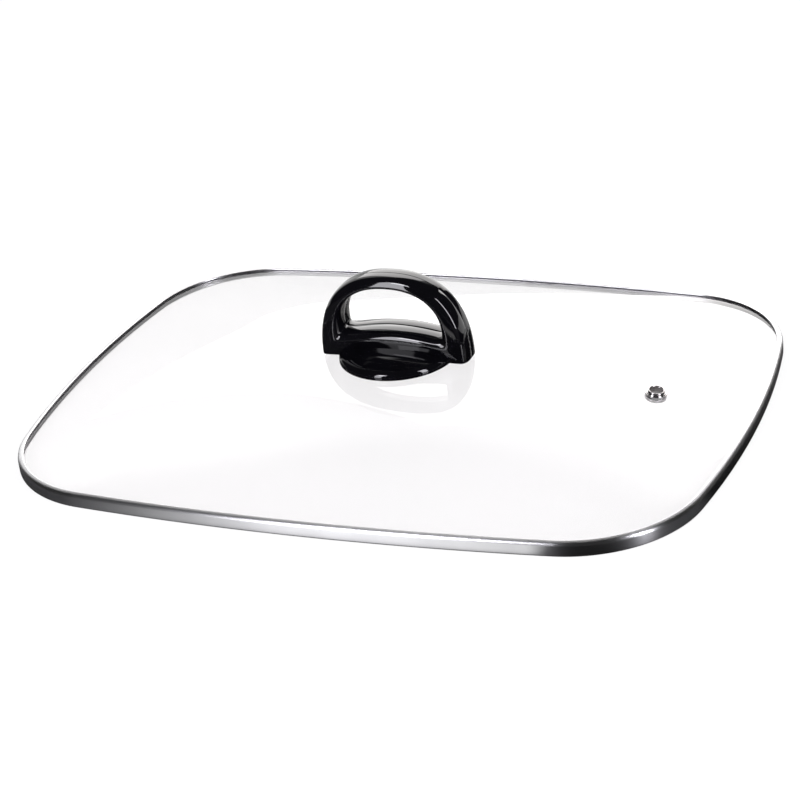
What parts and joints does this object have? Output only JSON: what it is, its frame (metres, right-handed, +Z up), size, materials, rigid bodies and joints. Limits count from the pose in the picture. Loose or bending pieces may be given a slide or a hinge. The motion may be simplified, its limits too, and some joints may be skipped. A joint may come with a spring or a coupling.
{
  "type": "glass lid",
  "caption": "Rectangular domed glass lid of a table grill, with a rolled steel rim, a black loop handle and a steel steam vent.",
  "frame": {"origin": "middle of the lid, on the plane that the rim's hem rests on", "axes": "+X along the long side towards the steam vent, +Y towards the back, +Z up towards the handle"},
  "size_m": [0.4, 0.298, 0.0793],
  "materials": {
    "glass": "clear tempered glass, fire-polished",
    "rim_steel": "polished stainless steel",
    "black_phenolic": "glossy moulded black phenolic",
    "insert_brass": "turned brass",
    "fastener_steel": "satin stainless steel",
    "silicone": "translucent grey silicone",
    "vent_steel": "polished stainless steel"
  },
  "bodies": {
    "root": {"glass_pane": "glass", "steel_rim": "rim_steel", "handle": "black_phenolic", "handle_insert": "insert_brass", "handle_screw": "fastener_steel", "screw_washer": "fastener_steel", "upper_seal": "silicone", "lower_seal": "silicone", "vent_eyelet": "vent_steel", "vent_grommet": "silicone", "vent_washer": "vent_steel"}
  },
  "joints": []
}
